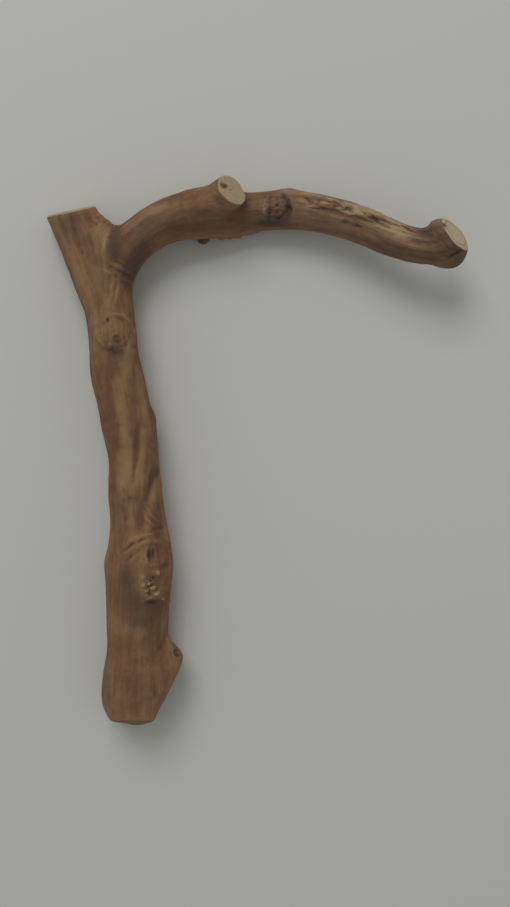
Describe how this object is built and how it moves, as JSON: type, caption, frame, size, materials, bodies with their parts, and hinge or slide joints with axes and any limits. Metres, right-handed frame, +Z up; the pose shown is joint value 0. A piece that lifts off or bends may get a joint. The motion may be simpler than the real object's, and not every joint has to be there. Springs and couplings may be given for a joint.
{
  "type": "piece of driftwood",
  "caption": "L-shaped piece of driftwood: a worn stem with a sawn-off leader and a side branch with a sawn twig stub, laid on its back.",
  "frame": {"origin": "on the surface the wood rests on, under the middle of its bounding box", "axes": "+Y along the stem from the foot to the fork, +X the way the branch points, +Z up from the surface, out of the face seen in the picture"},
  "size_m": [0.3565, 0.47, 0.0679],
  "materials": {
    "wood": "bare weathered wood, reddish brown with paler sawn ends, matt"
  },
  "bodies": {
    "root": {"driftwood": "wood"}
  },
  "joints": []
}
